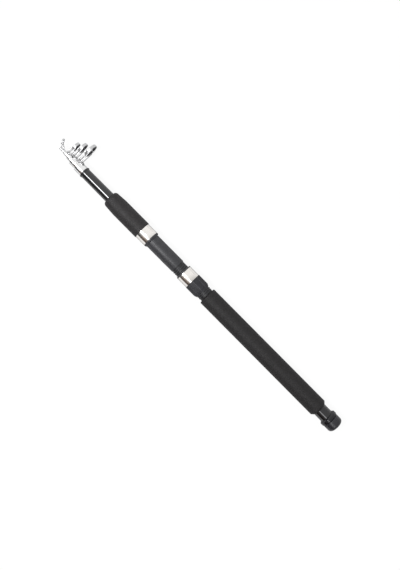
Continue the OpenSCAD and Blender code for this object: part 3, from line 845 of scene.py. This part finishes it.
# Darker near each leg's foot, where the legs meet the foot plate, in patches.
foot_dark_attribute = add_node(tree, "Attribute", attribute_name="heat")
patches = between(tree, cloud(tree, place, 0.0007, 4.0), -0.14, 0.14)
foot_dark_spread = add_node(tree, "Math", {0: foot_dark_attribute.outputs["Fac"], 1: patches}, operation="ADD")
heat = ramp(tree, foot_dark_spread.outputs[0], [(0.06, 0.0), (0.5, 1.0)])
tint = add_node(tree, "MixRGB", {"Fac": heat, "Color1": tone, "Color2": (0.035, 0.031, 0.029, 1)})
tree.links.new(tint.outputs["Color"], shader.inputs["Base Color"])
rough = add_node(tree, "Math", {0: between(tree, smudge, 0.32, 0.42),
                                1: between(tree, rubbed, -0.03, 0.05)}, operation="ADD")
tree.links.new(rough.outputs[0], shader.inputs["Roughness"])

dark_ceramic = fired("ring_ceramic", (0.004, 0.0045, 0.006), (0.01, 0.011, 0.014))

for name in ("section_2", "section_3", "section_4"):
    low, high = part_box(name + "_guide_insert")
    centre = Vector(((low.x + high.x) / 2, (low.y + high.y) / 2, 0))
    insert_r = (high.z - low.z) / 2
    depth = high.x - low.x
    insert_ring = rounded_ring(insert_r, INSERT_WALL, depth - 2 * INSERT_RECESS)
    insert = turned(name + "_ring", insert_ring, centre=centre)
    fit(insert, name + "_guide_insert", dark_ceramic)

    low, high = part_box(name + "_guide_frame")
    hoop_r = centre.y - low.y
    hoop = turned(name + "_hoop", rounded_ring(hoop_r, HOOP_WALL, depth), centre=centre)
    plate_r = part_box(name + "_collar")[1].z + GLUE
    foot_angle = FOOT_ANGLE + math.asin(2 * LEG_R / plate_r)
    shapes = [hoop, saddle(plate_r, FOOT_WALL, foot_angle, low.x, high.x)]
    leg_r = plate_r + FOOT_WALL / 2
    top_r = hoop_r - HOOP_WALL / 2
    feet = []
    for end in (-1, 1):
        for side in (-1, 1):
            base = Vector((centre.x + end * LEG_SPREAD, -leg_r * math.cos(FOOT_ANGLE),
                           side * leg_r * math.sin(FOOT_ANGLE)))
            top = Vector((centre.x + end * (depth / 2 + LEG_R - LEG_LAP),
                          centre.y + top_r * math.sin(LEG_TOP_ANGLE),
                          side * top_r * math.cos(LEG_TOP_ANGLE)))
            shapes.append(wire(base, top, LEG_R))
            feet.append(base)
    fit(join(name + "_guide", shapes, feet), name + "_guide_frame", guide_metal)


# The tip top: a short metal tube glued on the end of the tip rod, with a small ring of pale
# ceramic in a leaning hoop on two front struts and two back braces of brazed wire.
TIP_TUBE_WALL = 0.00045
TIP_TUBE_EDGE = 0.0002
TIP_LEAN = math.radians(22)
TIP_HOOP_R = 0.0041
TIP_HOOP_WALL = 0.0008
TIP_INSERT_R = 0.00326
TIP_INSERT_WALL = 0.001
TIP_DEPTH = 0.0018
TIP_WIRE_R = 0.00045
TIP_PLATE_WALL = 0.0005
TIP_PLATE_ANGLE = math.radians(75)
TIP_PLATE_INSET = 0.0003
TIP_FOOT_INSET = 0.0012
STRUT_ANGLE = math.radians(25)
BRACE_ANGLE = math.radians(80)

x0, x1, r = ends("tip_tube")
bore = r - TIP_TUBE_WALL
floor = x1 - TIP_TUBE_WALL
tube = turned("tip_socket", [(x0, bore), (x0, r), (x1, r), (x1, 0), (floor, 0), (floor, bore)],
              TIP_TUBE_EDGE)
fit(tube, "tip_tube", guide_metal)
low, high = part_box("tip_insert")
centre = Vector(((low.x + high.x) / 2, (low.y + high.y) / 2, 0))
lean = (math.cos(TIP_LEAN), math.sin(TIP_LEAN), 0)
insert = turned("tip_ring", rounded_ring(TIP_INSERT_R, TIP_INSERT_WALL, TIP_DEPTH),
                centre=centre, axis=lean)
fit(insert, "tip_insert", fired("pale_ceramic", (0.4, 0.4, 0.41), (0.54, 0.54, 0.55)))


def on_hoop(angle, side):
    """A point in the tip hoop's wire, at an angle round from its lowest point."""
    r = TIP_HOOP_R - TIP_HOOP_WALL / 2
    down = r * math.cos(angle)
    return centre + Vector((-down * math.sin(TIP_LEAN), down * math.cos(TIP_LEAN),
                            side * r * math.sin(angle)))


hoop = turned("tip_hoop", rounded_ring(TIP_HOOP_R, TIP_HOOP_WALL, TIP_DEPTH),
              centre=centre, axis=lean)
plate_r = r + GLUE
shapes = [hoop, saddle(plate_r, TIP_PLATE_WALL, TIP_PLATE_ANGLE,
                       x0 + TIP_PLATE_INSET, x1 - TIP_PLATE_INSET)]
wire_r = plate_r + TIP_PLATE_WALL / 2
feet = []
for start, angle in ((x1 - TIP_FOOT_INSET, STRUT_ANGLE), (x0 + TIP_FOOT_INSET, BRACE_ANGLE)):
    for side in (-1, 1):
        base = Vector((start, -wire_r * math.cos(FOOT_ANGLE), side * wire_r * math.sin(FOOT_ANGLE)))
        top = on_hoop(angle, side)
        shapes.append(wire(base, top, TIP_WIRE_R))
        feet.append(base)
fit(join("tip_guide", shapes, feet), "tip_frame", guide_metal)
